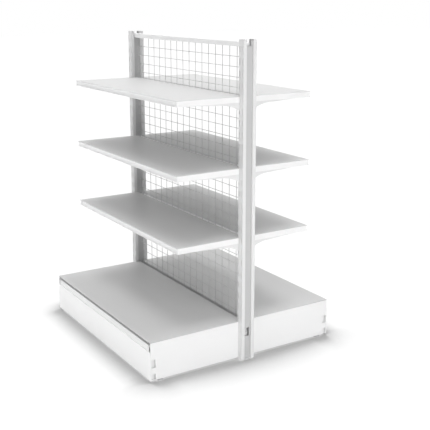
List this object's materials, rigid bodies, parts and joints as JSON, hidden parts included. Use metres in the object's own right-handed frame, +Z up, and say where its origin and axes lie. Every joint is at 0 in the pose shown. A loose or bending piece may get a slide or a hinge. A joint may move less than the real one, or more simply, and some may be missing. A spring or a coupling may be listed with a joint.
{
  "type": "gondola shelving",
  "caption": "Double-sided shop gondola bay: slotted uprights, wire mesh back, raised base with decks and kick plates, bracketed steel shelves on both sides, levelling feet",
  "frame": {"origin": "on the floor, midway between the uprights and midway between the two aisles", "axes": "X along the bay, its near end at +X; Y across the bay, front aisle at -Y; Z up"},
  "size_m": [1.035, 0.93, 1.385],
  "materials": {
    "shelf_white": "white powder coat, satin",
    "wire_white": "white powder coat on wire and rails, satin",
    "foot_grey": "zinc plated, dull"
  },
  "bodies": {
    "frame": {"upright_near": "shelf_white", "upright_far": "shelf_white", "top_rail": "wire_white", "bottom_rail": "wire_white", "mesh_panel": "wire_white", "leg_front_near": "shelf_white", "leg_front_far": "shelf_white", "leg_rear_near": "shelf_white", "leg_rear_far": "shelf_white", "bracket_front_low_near": "shelf_white", "bracket_front_low_far": "shelf_white", "bracket_front_mid_near": "shelf_white", "bracket_front_mid_far": "shelf_white", "bracket_front_top_near": "shelf_white", "bracket_front_top_far": "shelf_white", "bracket_rear_low_near": "shelf_white", "bracket_rear_low_far": "shelf_white", "bracket_rear_mid_near": "shelf_white", "bracket_rear_mid_far": "shelf_white", "bracket_rear_top_near": "shelf_white", "bracket_rear_top_far": "shelf_white"},
    "shelf_front_low": {"shelf_front_low": "shelf_white"},
    "shelf_front_mid": {"shelf_front_mid": "shelf_white"},
    "shelf_front_top": {"shelf_front_top": "shelf_white"},
    "shelf_rear_low": {"shelf_rear_low": "shelf_white"},
    "shelf_rear_mid": {"shelf_rear_mid": "shelf_white"},
    "shelf_rear_top": {"shelf_rear_top": "shelf_white"},
    "deck_front": {"deck_front": "shelf_white"},
    "deck_rear": {"deck_rear": "shelf_white"},
    "kick_front": {"kick_front": "shelf_white"},
    "kick_rear": {"kick_rear": "shelf_white"},
    "foot_front_near": {"foot_front_near": "foot_grey"},
    "foot_front_far": {"foot_front_far": "foot_grey"},
    "foot_rear_near": {"foot_rear_near": "foot_grey"},
    "foot_rear_far": {"foot_rear_far": "foot_grey"},
    "foot_upright_near": {"foot_upright_near": "foot_grey"},
    "foot_upright_far": {"foot_upright_far": "foot_grey"}
  },
  "joints": [
    {"name": "shelf_front_low_lift", "type": "slide", "parent": "frame", "child": "shelf_front_low", "axis": [0, 0, 1], "range_m": [0, 0.06]},
    {"name": "shelf_front_mid_lift", "type": "slide", "parent": "frame", "child": "shelf_front_mid", "axis": [0, 0, 1], "range_m": [0, 0.06]},
    {"name": "shelf_front_top_lift", "type": "slide", "parent": "frame", "child": "shelf_front_top", "axis": [0, 0, 1], "range_m": [0, 0.06]},
    {"name": "shelf_rear_low_lift", "type": "slide", "parent": "frame", "child": "shelf_rear_low", "axis": [0, 0, 1], "range_m": [0, 0.06]},
    {"name": "shelf_rear_mid_lift", "type": "slide", "parent": "frame", "child": "shelf_rear_mid", "axis": [0, 0, 1], "range_m": [0, 0.06]},
    {"name": "shelf_rear_top_lift", "type": "slide", "parent": "frame", "child": "shelf_rear_top", "axis": [0, 0, 1], "range_m": [0, 0.06]},
    {"name": "deck_front_lift", "type": "slide", "parent": "frame", "child": "deck_front", "axis": [0, 0, 1], "range_m": [0, 0.1]},
    {"name": "deck_rear_lift", "type": "slide", "parent": "frame", "child": "deck_rear", "axis": [0, 0, 1], "range_m": [0, 0.1]},
    {"name": "kick_front_pull", "type": "slide", "parent": "frame", "child": "kick_front", "axis": [0, -1, 0], "range_m": [0, 0.025]},
    {"name": "kick_rear_pull", "type": "slide", "parent": "frame", "child": "kick_rear", "axis": [0, 1, 0], "range_m": [0, 0.025]},
    {"name": "foot_front_near_screw", "type": "slide", "parent": "frame", "child": "foot_front_near", "axis": [0, 0, -1], "range_m": [0, 0.012]},
    {"name": "foot_front_far_screw", "type": "slide", "parent": "frame", "child": "foot_front_far", "axis": [0, 0, -1], "range_m": [0, 0.012]},
    {"name": "foot_rear_near_screw", "type": "slide", "parent": "frame", "child": "foot_rear_near", "axis": [0, 0, -1], "range_m": [0, 0.012]},
    {"name": "foot_rear_far_screw", "type": "slide", "parent": "frame", "child": "foot_rear_far", "axis": [0, 0, -1], "range_m": [0, 0.012]},
    {"name": "foot_upright_near_screw", "type": "slide", "parent": "frame", "child": "foot_upright_near", "axis": [0, 0, -1], "range_m": [0, 0.012]},
    {"name": "foot_upright_far_screw", "type": "slide", "parent": "frame", "child": "foot_upright_far", "axis": [0, 0, -1], "range_m": [0, 0.012]}
  ]
}
